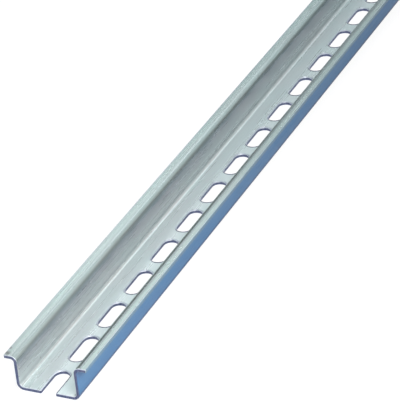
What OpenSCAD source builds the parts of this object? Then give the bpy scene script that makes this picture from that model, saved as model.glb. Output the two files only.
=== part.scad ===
// DIN rail, hat section 35 x 15, perforated with obround slots.
// One strip of steel, rolled into a channel with a lip along each side.
// X runs across the rail, Y along it and Z up; the origin is at the centre
// of the underside of the base.

/* [Section] */
// Overall width across both lips
rail_w = 35; // [30:0.5:50]
// Width over the outside of the channel's walls
channel_w = 27; // [18:0.5:31]
// Height from the underside of the base to the top of the lips
rail_h = 15; // [7.5:0.5:25]
// Thickness of the steel strip
sheet_t = 1.5; // [1:0.1:2.3]

/* [Bends] */
// Inside radius of the bends between the base and the walls
base_bend_r = 1.5; // [0.5:0.1:4]
// Inside radius of the bends between the walls and the lips
lip_bend_r = 1.2; // [0.5:0.1:3]

/* [Length] */
// Length of the cut piece
rail_l = 500; // [100:5:2000]

/* [Slots] */
// Width of a slot
slot_w = 6.3; // [4:0.1:9]
// Length of a slot from end to end
slot_l = 18; // [14:0.5:22]
// Distance from one slot's centre to the next
slot_pitch = 25; // [20:1:50]
// Distance from the front end to the centre of the slot that the end cuts
first_slot = 5.5; // [0:0.5:8]
// Radius that the punch draws down round the upper edge of a slot
punch_roll = 0.4; // [0.1:0.1:0.8]

/* [Hidden] */
$fn = 96;

steel_colour = [0.72, 0.76, 0.76];

// How far a cutter stands clear of the face that it cuts
cut_clear = 1;
front_y = -rail_l / 2;
// Slots that start before the back end, the cut ones at both ends included
slot_count = ceil((rail_l - first_slot + slot_l / 2) / slot_pitch);

// Outside radii of the two bends
base_outer_r = base_bend_r + sheet_t;
lip_outer_r = lip_bend_r + sheet_t;
// Centres of the two bends on the +X side, as [x, z]
base_bend_at = [channel_w / 2 - base_outer_r, base_outer_r];
lip_bend_at = [channel_w / 2 + lip_bend_r, rail_h - lip_outer_r];

// A flat stretch of strip between two corners of the section
module strip(low, high) {
    translate(low) square(high - low);
}

// A quarter turn of the strip; turn picks the quadrant that it fills
module bend(centre, inside_r, turn) {
    outside_r = inside_r + sheet_t;
    translate(centre) intersection() {
        difference() {
            circle(outside_r);
            circle(inside_r);
        }
        rotate(turn) square(outside_r);
    }
}

// The +X half of the section, from the middle of the base out to the lip's edge
module half_section() {
    strip([0, 0], [base_bend_at[0], sheet_t]);
    bend(base_bend_at, base_bend_r, -90);
    strip([channel_w / 2 - sheet_t, base_bend_at[1]], [channel_w / 2, lip_bend_at[1]]);
    bend(lip_bend_at, lip_bend_r, 90);
    strip([lip_bend_at[0], rail_h - sheet_t], [rail_w / 2, rail_h]);
}

module section() {
    half_section();
    mirror([1, 0]) half_section();
}

// Half of a slot cutter's section, from its middle out: straight through the
// strip, then flaring round the rolled upper edge
module slot_half_section() {
    reach = slot_w / 2 + punch_roll;
    difference() {
        union() {
            translate([0, -cut_clear]) square([slot_w / 2, sheet_t + 2 * cut_clear]);
            translate([0, sheet_t - punch_roll]) square([reach, punch_roll + cut_clear]);
        }
        translate([reach, sheet_t - punch_roll]) circle(punch_roll);
    }
}

// An upright cutter with round ends, centred on its own origin
module slot_cutter() {
    straight_l = slot_l - slot_w;
    for (side = [-1, 1]) translate([0, side * straight_l / 2, 0]) rotate_extrude() slot_half_section();
    rotate([90, 0, 0]) linear_extrude(straight_l, center = true) {
        slot_half_section();
        mirror([1, 0]) slot_half_section();
    }
}

module rail() {
    color(steel_colour) difference() {
        rotate([90, 0, 0]) linear_extrude(rail_l, center = true) section();
        for (i = [0 : slot_count - 1])
            translate([0, front_y + first_slot + i * slot_pitch, 0]) slot_cutter();
    }
}

rail();
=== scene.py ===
import bpy
import math
from mathutils import Matrix, Vector


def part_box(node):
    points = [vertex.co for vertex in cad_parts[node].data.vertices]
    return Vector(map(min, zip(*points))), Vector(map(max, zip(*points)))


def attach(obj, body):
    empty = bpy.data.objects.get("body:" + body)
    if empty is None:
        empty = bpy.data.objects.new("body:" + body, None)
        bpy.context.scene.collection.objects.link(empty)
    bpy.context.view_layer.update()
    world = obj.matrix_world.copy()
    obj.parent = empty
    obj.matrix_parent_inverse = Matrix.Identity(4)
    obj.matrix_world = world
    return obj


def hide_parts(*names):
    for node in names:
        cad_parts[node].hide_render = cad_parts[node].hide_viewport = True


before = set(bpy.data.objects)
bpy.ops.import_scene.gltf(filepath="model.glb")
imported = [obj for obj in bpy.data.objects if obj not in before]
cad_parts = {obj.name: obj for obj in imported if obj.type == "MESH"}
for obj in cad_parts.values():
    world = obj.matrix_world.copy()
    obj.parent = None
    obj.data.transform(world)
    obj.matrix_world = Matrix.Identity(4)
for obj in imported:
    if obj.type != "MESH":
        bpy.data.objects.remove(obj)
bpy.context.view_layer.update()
railLow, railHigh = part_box("rail")
mm = 0.001


def deselectAll():
    for thing in bpy.context.selected_objects:
        thing.select_set(False)
    bpy.context.view_layer.objects.active = None


def makeActive(thing):
    deselectAll()
    thing.select_set(True)
    bpy.context.view_layer.objects.active = thing


def selectBy(thing, mode, test):
    # leaves edit mode for a moment, so that the choice is written to the mesh
    bpy.ops.mesh.select_mode(type="VERT")
    bpy.ops.mesh.select_all(action="DESELECT")
    bpy.ops.mesh.select_mode(type=mode)
    bpy.ops.object.mode_set(mode="OBJECT")
    mesh = thing.data
    if mode == "FACE":
        for face in mesh.polygons:
            face.select = test(face)
    elif mode == "EDGE":
        for edge in mesh.edges:
            a, b = (mesh.vertices[i].co for i in edge.vertices)
            edge.select = test(a, b)
    else:
        for vertex in mesh.vertices:
            vertex.select = test(vertex.co)
    bpy.ops.object.mode_set(mode="EDIT")


def applyModifier(thing, kind, **values):
    makeActive(thing)
    modifier = thing.modifiers.new(kind.title(), kind)
    for name, value in values.items():
        setattr(modifier, name, value)
    bpy.ops.object.modifier_apply(modifier=modifier.name)


# The strip's section and its row of slots, as the rail is rolled and punched
strip = {
    "thickness": 1.5 * mm,
    "channelWidth": 27 * mm,
    "baseBend": 1.5 * mm,  # inside radius
    "lipBend": 1.2 * mm,  # inside radius
    "bendSteps": 10,
    "edgeBreak": 0.22 * mm,  # rounding left on the sheared edges
    "edgeSteps": 2,
}
slot = {
    "width": 6.3 * mm,
    "length": 18 * mm,
    "pitch": 25 * mm,
    "first": 5.5 * mm,  # from the front end to the middle of the slot that it cuts
    "endSteps": 14,  # segments of each round end
    "roll": 0.4 * mm,  # how far the punch draws the upper edge down
    "rollSteps": 4,
    "clear": 1 * mm,
}


def near(a, b):
    return abs(a - b) < 0.01 * mm


def makeStrip():
    # Starts as the cut face of half the base, is extruded and spun along the section,
    # mirrored, and then drawn out to the rail's length
    t = strip["thickness"]
    halfChannel = strip["channelWidth"] / 2
    halfRail = railHigh[0]
    height = railHigh[2]
    flat = halfChannel - t - strip["baseBend"]
    frontY = railLow[1]

    deselectAll()
    bpy.ops.mesh.primitive_plane_add(size=1, location=(flat / 2, frontY, t / 2),
                                     rotation=(math.radians(90), 0, 0))
    rail = bpy.context.object
    rail.name = "steelRail"
    rail.scale = (flat, t, 1)
    bpy.ops.object.transform_apply(location=True, rotation=True, scale=True)
    bpy.ops.object.mode_set(mode="EDIT")

    bendCentreZ = t + strip["baseBend"]
    selectBy(rail, "EDGE", lambda a, b: near(a.x, flat) and near(b.x, flat))
    bpy.ops.mesh.spin(steps=strip["bendSteps"], angle=math.radians(90),
                      center=(flat, frontY, bendCentreZ), axis=(0, 1, 0))
    wallTop = height - t - strip["lipBend"]
    bpy.ops.mesh.extrude_edges_move(
        TRANSFORM_OT_translate={"value": (0, 0, wallTop - bendCentreZ)})
    lipCentreX = halfChannel + strip["lipBend"]
    bpy.ops.mesh.spin(steps=strip["bendSteps"], angle=math.radians(-90),
                      center=(lipCentreX, frontY, wallTop), axis=(0, 1, 0))
    bpy.ops.mesh.extrude_edges_move(
        TRANSFORM_OT_translate={"value": (halfRail - lipCentreX, 0, 0)})
    bpy.ops.mesh.select_all(action="SELECT")
    bpy.ops.mesh.remove_doubles(threshold=0.001 * mm)
    bpy.ops.object.mode_set(mode="OBJECT")
    applyModifier(rail, "MIRROR", use_clip=True, merge_threshold=0.01 * mm)

    bpy.ops.object.mode_set(mode="EDIT")
    bpy.ops.mesh.select_all(action="SELECT")
    bpy.ops.mesh.extrude_region_move(
        TRANSFORM_OT_translate={"value": (0, railHigh[1] - frontY, 0)})
    bpy.ops.mesh.select_all(action="SELECT")
    bpy.ops.mesh.normals_make_consistent(inside=False)
    bpy.ops.object.mode_set(mode="OBJECT")
    return rail


def makeSlotPunch(centreY):
    # An upright round bar, pulled apart along the rail and flared round its top
    radius = slot["width"] / 2
    reach = (slot["length"] - slot["width"]) / 2
    top = strip["thickness"]
    low = -slot["clear"]
    deselectAll()
    bpy.ops.mesh.primitive_plane_add(size=1, location=(0, centreY, low))
    punch = bpy.context.object
    punch.scale = (slot["width"], slot["length"], 1)
    bpy.ops.object.transform_apply(location=True, rotation=True, scale=True)
    bpy.ops.object.mode_set(mode="EDIT")
    bpy.ops.mesh.select_all(action="SELECT")
    bpy.ops.mesh.bevel(affect="VERTICES", offset=radius, segments=slot["endSteps"],
                       clamp_overlap=False)
    bpy.ops.mesh.select_all(action="SELECT")
    bpy.ops.mesh.remove_doubles(threshold=0.01 * mm)
    bpy.ops.mesh.select_all(action="SELECT")
    bpy.ops.mesh.extrude_region_move(
        TRANSFORM_OT_translate={"value": (0, 0, top - slot["roll"] - low)})
    grown = 0
    risen = 0
    for step in range(1, slot["rollSteps"] + 1):
        turn = math.radians(90) * step / slot["rollSteps"]
        out = slot["roll"] * (1 - math.cos(turn))
        up = slot["roll"] * math.sin(turn)
        bpy.ops.mesh.extrude_region_move(
            TRANSFORM_OT_translate={"value": (0, 0, up - risen)})
        bpy.ops.transform.resize(value=((radius + out) / (radius + grown),
                                        (reach + radius + out) / (reach + radius + grown), 1))
        grown = out
        risen = up
    bpy.ops.mesh.extrude_region_move(
        TRANSFORM_OT_translate={"value": (0, 0, slot["clear"])})
    bpy.ops.mesh.select_all(action="SELECT")
    bpy.ops.mesh.normals_make_consistent(inside=False)
    bpy.ops.object.mode_set(mode="OBJECT")
    return punch


def punchSlots(rail):
    railLength = railHigh[1] - railLow[1]
    count = math.ceil((railLength - slot["first"] + slot["length"] / 2) / slot["pitch"])
    punches = [makeSlotPunch(railLow[1] + slot["first"] + i * slot["pitch"]) for i in range(count)]
    makeActive(punches[0])
    for punch in punches:
        punch.select_set(True)
    bpy.ops.object.join()
    applyModifier(rail, "BOOLEAN", operation="DIFFERENCE", solver="EXACT", object=punches[0])
    bpy.data.objects.remove(punches[0])
    print("slots punched:", count)


def breakEdges(rail):
    # The sheared edges at both ends, at the lips and under the slots lose their sharpness
    applyModifier(rail, "BEVEL", width=strip["edgeBreak"], segments=strip["edgeSteps"],
                  limit_method="ANGLE", angle_limit=math.radians(60), use_clamp_overlap=False)
    makeActive(rail)
    bpy.ops.object.shade_smooth_by_angle(angle=math.radians(35))
    # the flats stay flat, and only the bends and edges turn the light
    applyModifier(rail, "WEIGHTED_NORMAL", mode="FACE_AREA", weight=50, keep_sharp=True)


rail = makeStrip()
punchSlots(rail)
breakEdges(rail)
print("rail:", len(rail.data.vertices), "vertices")


def newGroup(name, *outputs):
    group = bpy.data.node_groups.new(name, "ShaderNodeTree")
    for socket in outputs:
        kind = "NodeSocketColor" if socket == "Colour" else "NodeSocketFloat"
        group.interface.new_socket(socket, in_out="OUTPUT", socket_type=kind)
    return group, group.nodes.new("NodeGroupOutput")


def addMath(tree, operation, first, second=0.0, third=0.0, clamp=False):
    node = tree.nodes.new("ShaderNodeMath")
    node.operation = operation
    node.use_clamp = clamp
    for i, value in enumerate((first, second, third)):
        if isinstance(value, bpy.types.NodeSocket):
            tree.links.new(value, node.inputs[i])
        else:
            node.inputs[i].default_value = value
    return node.outputs[0]


def addRamp(tree, value, low, high, toLow=0.0, toHigh=1.0, linear=False):
    # from toLow to toHigh as value goes from low to high, as a soft step or evenly
    node = tree.nodes.new("ShaderNodeMapRange")
    node.interpolation_type = "LINEAR" if linear else "SMOOTHSTEP"
    for i, number in enumerate((value, low, high, toLow, toHigh)):
        if isinstance(number, bpy.types.NodeSocket):
            tree.links.new(number, node.inputs[i])
        else:
            node.inputs[i].default_value = number
    return node.outputs[0]


def addMix(tree, factor, first, second, blend="MIX"):
    node = tree.nodes.new("ShaderNodeMix")
    node.data_type = "RGBA"
    node.blend_type = blend
    for i, value in ((0, factor), (6, first), (7, second)):
        if isinstance(value, bpy.types.NodeSocket):
            tree.links.new(value, node.inputs[i])
        else:
            node.inputs[i].default_value = value
    return node.outputs[2]


def addNoise(tree, scale, detail=3.0, roughness=0.5):
    # scale is how many waves there are in a metre along X, Y and Z
    coordinates = tree.nodes.new("ShaderNodeTexCoord")
    mapping = tree.nodes.new("ShaderNodeMapping")
    mapping.inputs["Scale"].default_value = scale
    noise = tree.nodes.new("ShaderNodeTexNoise")
    noise.inputs["Scale"].default_value = 1
    noise.inputs["Detail"].default_value = detail
    noise.inputs["Roughness"].default_value = roughness
    tree.links.new(coordinates.outputs["Object"], mapping.inputs["Vector"])
    tree.links.new(mapping.outputs["Vector"], noise.inputs["Vector"])
    return noise.outputs["Fac"]


def addColourRamp(tree, value, stops):
    # stops are (place, colour) in rising order, in the units of value
    first, last = stops[0][0], stops[-1][0]
    node = tree.nodes.new("ShaderNodeValToRGB")
    elements = node.color_ramp.elements
    while len(elements) < len(stops):
        elements.new(0.5)
    for element, (place, colour) in zip(elements, stops):
        element.position = (place - first) / (last - first)
        element.color = colour
    tree.links.new(addRamp(tree, value, first, last, linear=True), node.inputs[0])
    return node.outputs[0]


def addPlaces(tree):
    # place across the rail, distance from its middle, and height
    coordinates = tree.nodes.new("ShaderNodeTexCoord")
    split = tree.nodes.new("ShaderNodeSeparateXYZ")
    tree.links.new(coordinates.outputs["Object"], split.inputs[0])
    return split.outputs["X"], addMath(tree, "ABSOLUTE", split.outputs["X"]), split.outputs["Z"]


def useGroup(tree, group):
    node = tree.nodes.new("ShaderNodeGroup")
    node.node_tree = group
    return node.outputs


def makeRollingGroup():
    # Fine drawn-out lines that rolling leaves along the strip, and broader lazy bands
    group, result = newGroup("rollingMarks", "Fine", "Broad")
    fine = addNoise(group, (2200, 30, 2200), 4, 0.6)
    broad = addNoise(group, (300, 9, 300), 3, 0.5)
    group.links.new(addRamp(group, fine, 0.3, 0.7), result.inputs["Fine"])
    group.links.new(addRamp(group, broad, 0.3, 0.7), result.inputs["Broad"])
    return group


def makeWearGroup():
    # Small stains, handling scuffs and the uneven tint of the passivation
    group, result = newGroup("handlingWear", "Spots", "Scuffs", "Tint")
    spots = addNoise(group, (620, 260, 620), 2, 0.4)
    patches = addNoise(group, (60, 14, 60), 2, 0.5)
    scuffs = addNoise(group, (900, 220, 900), 5, 0.7)
    tint = addNoise(group, (90, 50, 90), 2, 0.5)
    group.links.new(addRamp(group, spots, 0.68, 0.78), result.inputs["Spots"])
    scuffed = addRamp(group, scuffs, 0.5, 0.7)
    scuffed = addMath(group, "MULTIPLY", scuffed, addRamp(group, patches, 0.4, 0.65))
    group.links.new(scuffed, result.inputs["Scuffs"])
    group.links.new(addRamp(group, tint, 0.35, 0.65), result.inputs["Tint"])
    return group


# Where the plating is stained: place and radius
stains = (
    ((-12.0, -234.6, 10.7), 0.7),
    ((-12.0, -232.7, 3.6), 0.6),
    ((-12.0, -243.5, 10.2), 0.5),
    ((-16.6, -248.4, 15.0), 1.8),
    ((-17.2, -245.0, 15.0), 1.1),
)


def makeStainGroup():
    group, result = newGroup("stains", "Stain")
    coordinates = group.nodes.new("ShaderNodeTexCoord")
    blots = addNoise(group, (1500, 1000, 1500), 3, 0.6)
    total = 0.0
    for place, radius in stains:
        away = group.nodes.new("ShaderNodeVectorMath")
        away.operation = "DISTANCE"
        group.links.new(coordinates.outputs["Object"], away.inputs[0])
        away.inputs[1].default_value = [number * mm for number in place]
        spot = addRamp(group, away.outputs["Value"], 0.3 * radius * mm, radius * mm, 1.0, 0.0)
        total = addMath(group, "ADD", spot, total)
    broken = addMath(group, "MULTIPLY", total, addRamp(group, blots, 0.3, 0.6, 0.4, 1.0), clamp=True)
    group.links.new(broken, result.inputs["Stain"])
    return group


# Heights and distances from the middle, with the colour there: the plating's tone, with painted highlights
# and painted shade laid into it
platingAndPaintedLight = {
    "inside": (  # by height: base, a painted highlight along the base bend, painted shade just above it, the wall painted darker towards the lip bend as shade under the lips, then the lip bend
        (1.45 * mm, (0.63, 0.71, 0.72, 1)),
        (1.60 * mm, (0.64, 0.72, 0.73, 1)),
        (1.75 * mm, (0.69, 0.74, 0.75, 1)),
        (2.10 * mm, (0.69, 0.74, 0.75, 1)),
        (2.60 * mm, (0.47, 0.52, 0.53, 1)),
        (3.20 * mm, (0.42, 0.45, 0.47, 1)),
        (4.20 * mm, (0.50, 0.55, 0.56, 1)),
        (8.00 * mm, (0.41, 0.45, 0.47, 1)),
        (10.5 * mm, (0.35, 0.38, 0.41, 1)),
        (12.2 * mm, (0.24, 0.29, 0.32, 1)),
        (13.4 * mm, (0.26, 0.31, 0.31, 1)),
        (14.3 * mm, (0.51, 0.61, 0.61, 1)),
        (15.0 * mm, (0.48, 0.58, 0.58, 1)),
    ),
    "lipTop": (  # by distance from the middle, on the lips: darker towards the bend as painted shade, lighter from 15 to 16 mm as a painted highlight
        (13.2 * mm, (0.40, 0.47, 0.47, 1)),
        (14.2 * mm, (0.43, 0.50, 0.50, 1)),
        (15.1 * mm, (0.49, 0.58, 0.57, 1)),
        (15.9 * mm, (0.48, 0.58, 0.57, 1)),
        (16.6 * mm, (0.45, 0.54, 0.54, 1)),
        (17.3 * mm, (0.48, 0.56, 0.58, 1)),
    ),
    "rightLipPaintedShade": (  # by distance from the middle: painted shade, a darker band along the right lip's bend standing in for a dark reflection
        (13.2 * mm, (0.90, 0.90, 0.90, 1)),
        (13.8 * mm, (0.80, 0.80, 0.80, 1)),
        (14.3 * mm, (0.62, 0.62, 0.64, 1)),
        (14.8 * mm, (0.60, 0.60, 0.62, 1)),
        (15.2 * mm, (0.72, 0.72, 0.74, 1)),
        (15.9 * mm, (0.93, 0.92, 0.90, 1)),
        (17.2 * mm, (0.93, 0.93, 0.93, 1)),
    ),
    "outside": (  # by height: the blue passivation film, its deep blue partly a painted reflection, with painted shade as dark bands near the foot and a darker band under the lip
        (0.0 * mm, (0.066, 0.16, 0.32, 1)),
        (1.0 * mm, (0.013, 0.039, 0.085, 1)),
        (1.5 * mm, (0.013, 0.039, 0.093, 1)),
        (1.9 * mm, (0.035, 0.098, 0.24, 1)),
        (2.4 * mm, (0.012, 0.035, 0.11, 1)),
        (3.2 * mm, (0.040, 0.13, 0.27, 1)),
        (8.0 * mm, (0.040, 0.14, 0.29, 1)),
        (12.8 * mm, (0.040, 0.098, 0.22, 1)),
        (13.6 * mm, (0.086, 0.16, 0.23, 1)),
        (15.0 * mm, (0.12, 0.20, 0.26, 1)),
    ),
}


# Where one kind of plating gives way to the next, as a start and an end
zones = {
    "lip": (-0.8 * mm, -0.1 * mm),  # height from the top of the lips
    "rightLipPaintedShade": (12 * mm, 13 * mm),  # place across the rail where the right lip's painted shade begins
    "beyond": (-1.1 * mm, -0.7 * mm),  # across, from the outside of the wall
    "below": (-1.5 * mm, -1.1 * mm),  # height from the top of the lips
    "under": (0.7 * mm, 1.1 * mm),  # height
    "edge": (-0.2 * mm, -0.05 * mm),  # across, from the lip's edge
}


def addZone(tree, value, zone, start=0.0, toLow=0.0, toHigh=1.0):
    low, high = zones[zone]
    return addRamp(tree, value, start + low, start + high, toLow, toHigh)


def makeSectionGroup():
    group, result = newGroup("platingAndPaintedLightByPlace", "Colour", "Film", "Lip")
    side, across, height = addPlaces(group)
    wallOutside = strip["channelWidth"] / 2
    lipTop = railHigh[2]
    # plating tone by height, with painted highlight and painted shade
    inside = addColourRamp(group, height, platingAndPaintedLight["inside"])
    onLip = addZone(group, height, "lip", lipTop)
    # the lips' colour across them, with painted shade and a painted highlight
    inside = addMix(group, onLip, inside, addColourRamp(group, across, platingAndPaintedLight["lipTop"]))
    # the right lip alone is darkened near its bend: painted shade
    onRight = addMath(group, "MULTIPLY", onLip, addZone(group, side, "rightLipPaintedShade"))
    inside = addMix(group, onRight, inside, addColourRamp(group, side, platingAndPaintedLight["rightLipPaintedShade"]), "MULTIPLY")
    beyond = addZone(group, across, "beyond", wallOutside)
    below = addZone(group, height, "below", lipTop, 1.0, 0.0)
    under = addZone(group, height, "under", 0.0, 1.0, 0.0)
    edge = addZone(group, across, "edge", railHigh[0])
    outside = addMath(group, "MAXIMUM", addMath(group, "MULTIPLY", beyond, below), under)
    outside = addMath(group, "MAXIMUM", outside, edge)
    # the outside's colour: blue film tint with painted reflection and painted shade
    filmTintAndPaintedLight = addColourRamp(group, height, platingAndPaintedLight["outside"])
    group.links.new(addMix(group, outside, inside, filmTintAndPaintedLight), result.inputs["Colour"])
    group.links.new(outside, result.inputs["Film"])
    group.links.new(onLip, result.inputs["Lip"])
    return group


rollingGroup = makeRollingGroup()
wearGroup = makeWearGroup()
sectionGroup = makeSectionGroup()
stainGroup = makeStainGroup()

zinc = {
    "metallic": (0.5, 0.0),  # inside, and under the blue film
    "roughness": (0.26, 0.34),
    "filmRoughness": 0.2,  # added under the film
    "lipMetallic": 0.2,  # added on the lips, which the rolls burnish
    "lipRoughness": -0.05,
    "tint": ((0.97, 1.0, 1.0, 1), (0.99, 0.985, 0.99, 1)),
    "stain": (0.19, 0.20, 0.20, 1),
    "spotStrength": 0.12,
    "broadShade": (0.96, 1.0),
    "fineShade": (0.97, 1.0),
    "scuffShade": (1.0, 0.95),
    "scuffRoughness": 0.06,
    "bumpStrength": 0.05,
    "bumpDepth": 0.002 * mm,
}


def addGrey(tree, value):
    node = tree.nodes.new("ShaderNodeCombineColor")
    for channel in range(3):
        tree.links.new(value, node.inputs[channel])
    return node.outputs[0]


def makeZinc():
    material = bpy.data.materials.new("zincPlate")
    material.use_nodes = True
    tree = material.node_tree
    shader = tree.nodes["Principled BSDF"]
    marks = useGroup(tree, rollingGroup)
    wear = useGroup(tree, wearGroup)
    section = useGroup(tree, sectionGroup)
    colour = addMix(tree, 1.0, section["Colour"], addMix(tree, wear["Tint"], *zinc["tint"]), "MULTIPLY")
    shade = addRamp(tree, marks["Broad"], 0, 1, *zinc["broadShade"])
    shade = addMath(tree, "MULTIPLY", shade, addRamp(tree, marks["Fine"], 0, 1, *zinc["fineShade"]))
    shade = addMath(tree, "MULTIPLY", shade, addRamp(tree, wear["Scuffs"], 0, 1, *zinc["scuffShade"]))
    colour = addMix(tree, 1.0, colour, addGrey(tree, shade), "MULTIPLY")
    stained = addMath(tree, "MULTIPLY", wear["Spots"], zinc["spotStrength"])
    stained = addMath(tree, "MAXIMUM", stained, useGroup(tree, stainGroup)["Stain"])
    colour = addMix(tree, stained, colour, zinc["stain"])
    tree.links.new(colour, shader.inputs["Base Color"])
    rough = addRamp(tree, marks["Broad"], 0, 1, *zinc["roughness"])
    scuffed = addMath(tree, "MULTIPLY", wear["Scuffs"], zinc["scuffRoughness"])
    rough = addMath(tree, "ADD", rough, scuffed)
    rough = addMath(tree, "MULTIPLY_ADD", section["Film"], zinc["filmRoughness"], rough)
    rough = addMath(tree, "MULTIPLY_ADD", section["Lip"], zinc["lipRoughness"], rough)
    tree.links.new(rough, shader.inputs["Roughness"])
    metallic = addRamp(tree, section["Film"], 0, 1, *zinc["metallic"])
    metallic = addMath(tree, "MULTIPLY_ADD", section["Lip"], zinc["lipMetallic"], metallic)
    tree.links.new(metallic, shader.inputs["Metallic"])
    bump = tree.nodes.new("ShaderNodeBump")
    bump.inputs["Strength"].default_value = zinc["bumpStrength"]
    bump.inputs["Distance"].default_value = zinc["bumpDepth"]
    tree.links.new(marks["Fine"], bump.inputs["Height"])
    tree.links.new(bump.outputs["Normal"], shader.inputs["Normal"])
    return material


sheared = {
    "dark": (0.08, 0.10, 0.19, 1),
    "light": (0.17, 0.19, 0.31, 1),
    "roughness": 0.45,
}
# the rim's paler, bluer colour stands in partly for a highlight: painted highlight
rimTintAndPaintedSheen = {
    "bright": (0.64, 0.70, 0.77, 1),
    "dull": (0.55, 0.61, 0.69, 1),
    "roughness": 0.4,
}


def makeCutMetal(name, first, second, roughness, metallic):
    # metal marked by a blade or punch, with fine stripes through the strip's thickness
    material = bpy.data.materials.new(name)
    material.use_nodes = True
    tree = material.node_tree
    shader = tree.nodes["Principled BSDF"]
    grain = addNoise(tree, (2400, 2400, 400), 3, 0.6)
    colour = addMix(tree, addRamp(tree, grain, 0.35, 0.65), first, second)
    tree.links.new(colour, shader.inputs["Base Color"])
    rough = addRamp(tree, grain, 0.35, 0.65, roughness, roughness + 0.1)
    tree.links.new(rough, shader.inputs["Roughness"])
    shader.inputs["Metallic"].default_value = metallic
    return material


def isCut(face):
    # the ends of the strip, and the walls of the slots below their rolled rims
    atEnd = near(face.center.y, railLow[1]) or near(face.center.y, railHigh[1])
    if atEnd and abs(face.normal.y) > 0.9:
        return True
    inSlot = abs(face.center.x) < slot["width"] and face.center.z < strip["thickness"]
    return inSlot and abs(face.normal.z) < 0.2


def isRim(face):
    # the upper edge of a slot, drawn down by the punch, and the top edge of a sheared end, which takes the
    # rim's paler colour as a painted highlight
    if not 0.2 <= face.normal.z < 0.995:
        return False
    inSlot = abs(face.center.x) < slot["width"] and face.center.z > strip["thickness"] / 2
    toEnd = min(face.center.y - railLow[1], railHigh[1] - face.center.y)
    return inSlot or toEnd < strip["edgeBreak"]


def dressRail(rail):
    rail.data.materials.append(makeZinc())
    rail.data.materials.append(makeCutMetal("shearedSteel", sheared["dark"], sheared["light"],
                                            sheared["roughness"], 1.0))
    rail.data.materials.append(makeCutMetal("rimTintAndPaintedSheen", rimTintAndPaintedSheen["dull"], rimTintAndPaintedSheen["bright"],
                                            rimTintAndPaintedSheen["roughness"], zinc["metallic"][0]))
    for face in rail.data.polygons:
        face.material_index = 1 if isCut(face) else 2 if isRim(face) else 0


dressRail(rail)
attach(rail, "root")
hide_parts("rail")
print("rail dressed")

studio = {
    "worldColour": (0.85, 0.97, 1.0, 1),
    "worldStrength": 0.5,
    "floorSize": 8,
    "floorColour": (0.9, 0.9, 0.9, 1),
    "roughness": 0.9,  # of the floor and the cards
    "floorSpecular": 0.1,
    "floorLift": 0.85,  # how far the floor is drawn up to white where it is seen
    "floorWhite": 1.06,  # makes up for the part of the floor that stays shaded
    # cards stand on the floor: middle of the foot, turn, width, height, low and high colour
    "cards": {
        "backCard": ((-0.20, 0.75), 0, 1.4, 0.60, (0.42, 0.47, 0.49, 1), (0.95, 0.98, 1.0, 1)),
        "sideCard": ((-0.60, 0.70), 90, 1.1, 0.62, (0.02, 0.03, 0.03, 1), (0.04, 0.05, 0.05, 1)),
        "shadeCard": ((0.55, 0.75), 90, 1.1, 0.70, (0.03, 0.03, 0.03, 1), (0.03, 0.03, 0.03, 1)),
    },
    "matteLamps": ("topLamp", "fillLamp"),  # light the rail softly and aren't mirrored in it
    "lamps": {  # name: place, size, watts, colour
        "keyLamp": ((0.22, -0.37, 0.22), 0.25, 2.0, (1.0, 0.92, 0.89)),
        "glowLamp": ((-0.48, 0.70, 0.66), 0.45, 0.6, (1.0, 0.99, 0.98)),
        "backLamp": ((0.02, 0.80, 0.76), 0.45, 0.8, (1.0, 1.0, 1.0)),
        "topLamp": ((0.05, 0.15, 1.50), 0.9, 7.5, (1.0, 1.0, 1.0)),
        "fillLamp": ((-0.55, 0.05, 0.20), 0.4, 1.0, (1.0, 1.0, 1.0)),
    },
}


def makeFloor():
    deselectAll()
    bpy.ops.mesh.primitive_plane_add(size=studio["floorSize"], location=(0, 0, 0))
    floor = bpy.context.object
    floor.name = "studioFloor"
    material = bpy.data.materials.new("paleFloor")
    material.use_nodes = True
    tree = material.node_tree
    shader = tree.nodes["Principled BSDF"]
    shader.inputs["Base Color"].default_value = studio["floorColour"]
    shader.inputs["Roughness"].default_value = studio["roughness"]
    shader.inputs["Specular IOR Level"].default_value = studio["floorSpecular"]
    white = tree.nodes.new("ShaderNodeEmission")
    white.inputs["Strength"].default_value = studio["floorWhite"]
    paths = tree.nodes.new("ShaderNodeLightPath")
    seen = addMath(tree, "ADD", paths.outputs["Is Camera Ray"], paths.outputs["Is Glossy Ray"], clamp=True)
    seen = addMath(tree, "ADD", seen, paths.outputs["Is Transmission Ray"], clamp=True)
    lift = addMath(tree, "MULTIPLY", seen, studio["floorLift"])
    mixed = tree.nodes.new("ShaderNodeMixShader")
    tree.links.new(lift, mixed.inputs[0])
    tree.links.new(shader.outputs[0], mixed.inputs[1])
    tree.links.new(white.outputs[0], mixed.inputs[2])
    tree.links.new(mixed.outputs[0], tree.nodes["Material Output"].inputs["Surface"])
    floor.data.materials.append(material)


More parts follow.
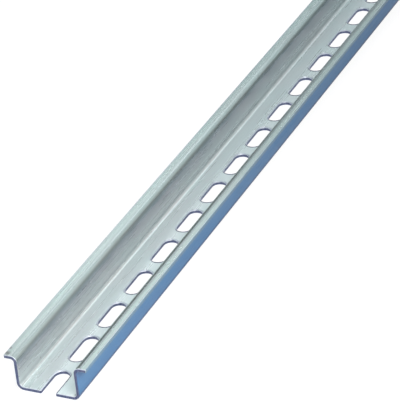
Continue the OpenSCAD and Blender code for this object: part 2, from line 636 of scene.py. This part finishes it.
def makeCards():
    for name, (foot, turn, width, height, low, high) in studio["cards"].items():
        deselectAll()
        bpy.ops.mesh.primitive_plane_add(size=1, location=(*foot, height / 2),
                                         rotation=(math.radians(90), 0, math.radians(turn)))
        card = bpy.context.object
        card.name = name
        card.scale = (width, height, 1)
        card.visible_camera = False
        card.visible_shadow = False
        material = bpy.data.materials.new(name)
        material.use_nodes = True
        tree = material.node_tree
        shader = tree.nodes["Principled BSDF"]
        coordinates = tree.nodes.new("ShaderNodeTexCoord")
        split = tree.nodes.new("ShaderNodeSeparateXYZ")
        tree.links.new(coordinates.outputs["Generated"], split.inputs[0])
        colour = addMix(tree, split.outputs["Y"], low, high)
        tree.links.new(colour, shader.inputs["Base Color"])
        shader.inputs["Roughness"].default_value = studio["roughness"]
        card.data.materials.append(material)


def makeLamps():
    for name, (place, size, watts, colour) in studio["lamps"].items():
        data = bpy.data.lights.new(name, "AREA")
        data.shape = "DISK"
        data.size = size
        data.energy = watts
        data.color = colour
        lamp = bpy.data.objects.new(name, data)
        lamp.visible_camera = False
        lamp.visible_glossy = name not in studio["matteLamps"]
        bpy.context.scene.collection.objects.link(lamp)
        lamp.location = place
        lamp.rotation_euler = (-Vector(place)).to_track_quat("-Z", "Y").to_euler()


def makeWorld():
    world = bpy.data.worlds.new("studio")
    bpy.context.scene.world = world
    world.use_nodes = True
    background = world.node_tree.nodes["Background"]
    background.inputs["Color"].default_value = studio["worldColour"]
    background.inputs["Strength"].default_value = studio["worldStrength"]


makeFloor()
makeCards()
makeLamps()
makeWorld()
print("studio ready")

# The camera looks down the rail from beyond its front end, with a long lens
viewpoint = {
    "azimuth": 26.97,
    "elevation": 30.16,
    "roll": -5.68,
    "distance": 1.0176,
    "aim": (-3.81 * mm, -100.55 * mm, 0),
    "lens": 213.25,
    "sensor": 36,
    "clipStart": 50 * mm,
}


def makeCamera():
    data = bpy.data.cameras.new("studioCamera")
    data.sensor_width = viewpoint["sensor"]
    data.lens = viewpoint["lens"]
    data.clip_start = viewpoint["clipStart"]
    camera = bpy.data.objects.new("studioCamera", data)
    bpy.context.scene.collection.objects.link(camera)
    azimuth, elevation, roll = (math.radians(viewpoint[k]) for k in ("azimuth", "elevation", "roll"))
    turn = (Matrix.Rotation(azimuth, 4, "Z") @ Matrix.Rotation(math.radians(90) - elevation, 4, "X")
            @ Matrix.Rotation(roll, 4, "Z"))
    back = turn @ Vector((0, 0, viewpoint["distance"]))
    camera.matrix_world = Matrix.Translation(Vector(viewpoint["aim"]) + back) @ turn
    bpy.context.scene.camera = camera


makeCamera()
bpy.context.scene.view_settings.view_transform = "Standard"
